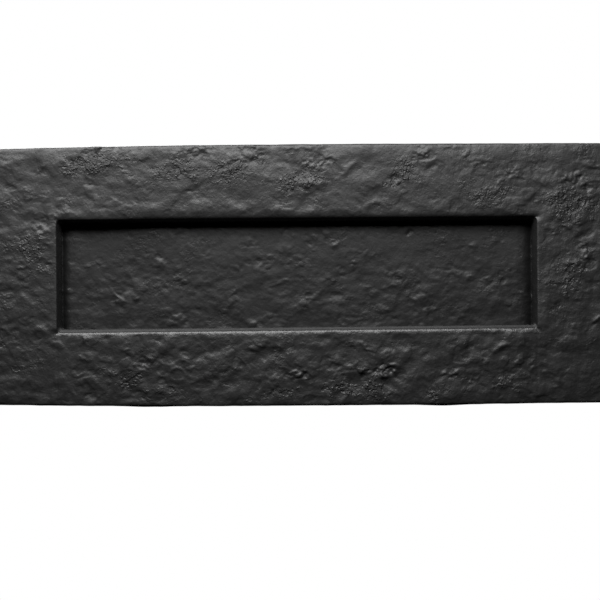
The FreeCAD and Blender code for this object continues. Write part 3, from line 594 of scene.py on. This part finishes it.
def black_iron(name, shade, specular, grain):
    """Waxed black iron: near-black, satin, with sand-cast grain that is strongest where flaky.

    Its roughness and grain follow the attributes "gloss" and "flaky" of the casting's vertices.
    """
    material, tree, shader, place = new_material(name, (shade,) * 3, 0, 0.5)
    shader.inputs["Specular IOR Level"].default_value = specular
    mottle = noise_node(tree, place, 180, detail=5)
    darker, lighter = (0.85 * shade,) * 3, (1.2 * shade,) * 3
    tree.links.new(ramp_node(tree, mottle, 0.3, 0.7, darker, lighter), shader.inputs["Base Color"])
    uneven = noise_node(tree, place, 420, detail=6, roughness=0.7)
    dull = ramp_node(tree, uneven, 0.3, 0.7, 0.48, 0.58)
    smoother = ramp_node(tree, attribute_node(tree, "gloss"), -1, 1, -0.25, 0.25)
    tree.links.new(math_node(tree, "SUBTRACT", dull, smoother), shader.inputs["Roughness"])

    flaky = attribute_node(tree, "flaky")
    depth = ramp_node(tree, flaky, 0, 1, 0.35 * grain, 1.1 * grain)
    crust = math_node(tree, "MULTIPLY", noise_node(tree, place, 420, detail=3, roughness=0.62), depth)
    coarse = add_bump(tree, shader, crust, 0.5 * MM)

    # Chips are the peaks and pits of a coarser noise, with flat ground between them.
    grit = noise_node(tree, place, 300, detail=2, roughness=0.75)
    peaks = ramp_node(tree, grit, 0.56, 0.64, 0, 1)
    pits = ramp_node(tree, grit, 0.37, 0.44, -1, 0)
    crisp = ramp_node(tree, flaky, 0.3, 0.9, 0.1 * grain, grain)
    chips = math_node(tree, "MULTIPLY", math_node(tree, "ADD", peaks, pits), crisp)
    middle = add_bump(tree, shader, chips, 0.33 * MM, below=coarse)
    add_bump(tree, shader, noise_node(tree, place, 2600, detail=2), 0.015 * MM, below=middle)
    return material


def metal(name, colour, roughness, grain_scale):
    """Plated, drawn or turned metal, with faint marks in its colour and gloss."""
    material, tree, shader, place = new_material(name, colour, 1, roughness)
    marks = noise_node(tree, place, grain_scale, detail=6, roughness=0.65)
    darker = tuple(0.72 * c for c in colour)
    tree.links.new(ramp_node(tree, marks, 0.3, 0.75, darker, colour), shader.inputs["Base Color"])
    wear = ramp_node(tree, marks, 0.25, 0.75, roughness + 0.12, roughness - 0.06)
    tree.links.new(wear, shader.inputs["Roughness"])
    add_bump(tree, shader, noise_node(tree, place, 8 * grain_scale, detail=2), 0.01 * MM, 0.5)
    return material


def satin_black(name):
    """Black-painted steel, faintly orange-peeled."""
    material, tree, shader, place = new_material(name, (0.02, 0.02, 0.02), 0, 0.38)
    shade = noise_node(tree, place, 300)
    colour = ramp_node(tree, shade, 0.3, 0.7, (0.014, 0.014, 0.014), (0.026, 0.026, 0.026))
    tree.links.new(colour, shader.inputs["Base Color"])
    tree.links.new(ramp_node(tree, shade, 0.3, 0.7, 0.34, 0.46), shader.inputs["Roughness"])
    add_bump(tree, shader, noise_node(tree, place, 1500, detail=1), 0.02 * MM, 0.6)
    return material


def finish(piece, material, body, node):
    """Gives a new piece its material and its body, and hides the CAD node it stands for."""
    piece.data.materials.clear()
    piece.data.materials.append(material)
    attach(piece, body)
    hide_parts(node)


def repaint(words, material):
    """Puts a material on every CAD node that has one of these words in its name."""
    for name, node in NODES.items():
        if any(word in name for word in words):
            for slot in node.material_slots:
                slot.material = material


# ---------------------------------------------------------------- stage, light and camera


def make_stage():
    """A pale floor and a white background that light nothing and show in no reflection."""
    bpy.ops.mesh.primitive_plane_add(size=4, location=(0, 0, -0.9))
    floor = bpy.context.object
    floor.name = "floor"
    material = bpy.data.materials.new("pale_floor")
    material.use_nodes = True
    shader = material.node_tree.nodes["Principled BSDF"]
    pale = (0.8, 0.8, 0.79, 1)
    shader.inputs["Base Color"].default_value = pale
    shader.inputs["Roughness"].default_value = 0.9
    shader.inputs["Emission Color"].default_value = pale
    shader.inputs["Emission Strength"].default_value = 0.85
    floor.data.materials.append(material)
    floor.visible_diffuse = False
    floor.visible_glossy = False

    world = bpy.data.worlds.new("white_room")
    world.use_nodes = True
    background = world.node_tree.nodes["Background"]
    background.inputs["Color"].default_value = (1, 1, 1, 1)
    background.inputs["Strength"].default_value = 1.0
    world.cycles_visibility.diffuse = False
    world.cycles_visibility.glossy = False
    bpy.context.scene.world = world
    bpy.context.scene.view_settings.view_transform = "Standard"


def softbox(name, at, width, height, watts):
    """A rectangular area light that faces the middle of the plate."""
    data = bpy.data.lights.new(name, "AREA")
    data.shape = "RECTANGLE"
    data.size, data.size_y = width, height
    data.energy = watts
    light = bpy.data.objects.new(name, data)
    light.location = at
    light.rotation_euler = (-Vector(at)).to_track_quat("-Z", "Y").to_euler()
    bpy.context.scene.collection.objects.link(light)


def make_lights():
    softbox("overhead", (-0.058, -0.195, 0.24), 0.42, 0.16, 2.78)
    softbox("back_left", (-0.5, 0.8, 0.5), 0.8, 0.6, 16)
    softbox("back_right", (0.6, 0.7, 0.2), 0.6, 0.6, 9)


def make_camera():
    """Straight in front of the plate, so near that both of its ends lie outside the picture."""
    data = bpy.data.cameras.new("camera")
    camera = bpy.data.objects.new("camera", data)
    distance, seen_width = 0.55, 0.2493
    sensor, tilt = 36, 0.41
    data.sensor_width = sensor
    data.lens = sensor * (distance + FRONT) / seen_width
    camera.location = (1.2 * MM, -distance, -10.45 * MM)
    camera.rotation_euler = (math.radians(90), math.radians(tilt), 0)
    bpy.context.scene.collection.objects.link(camera)
    bpy.context.scene.camera = camera


# ---------------------------------------------------------------- making it


make_camera()
make_stage()
make_lights()
make_casting("face_plate", "frame", plate_shift, plate_gloss, black_iron("plate_iron", 0.010, 0.5, 1.0))
make_casting("flap", "flap", flap_shift, flap_gloss, black_iron("flap_iron", 0.007, 0.43, 0.6))
repaint(("bracket", "screw"), metal("zinc_plate", (0.62, 0.63, 0.64), 0.34, 350))
bright = metal("bright_steel", (0.56, 0.56, 0.57), 0.3, 500)
repaint(("fixing_stud", "hinge_rod"), bright)
make_studs(bright)
repaint(("thrust_washer",), metal("brass", (0.72, 0.52, 0.22), 0.36, 600))
wire = metal("spring_wire", (0.42, 0.42, 0.43), 0.3, 700)
repaint(("torsion_spring",), wire)
make_springs(wire)
repaint(("rod_clip", "door_washer", "dome_nut"), satin_black("satin_black"))
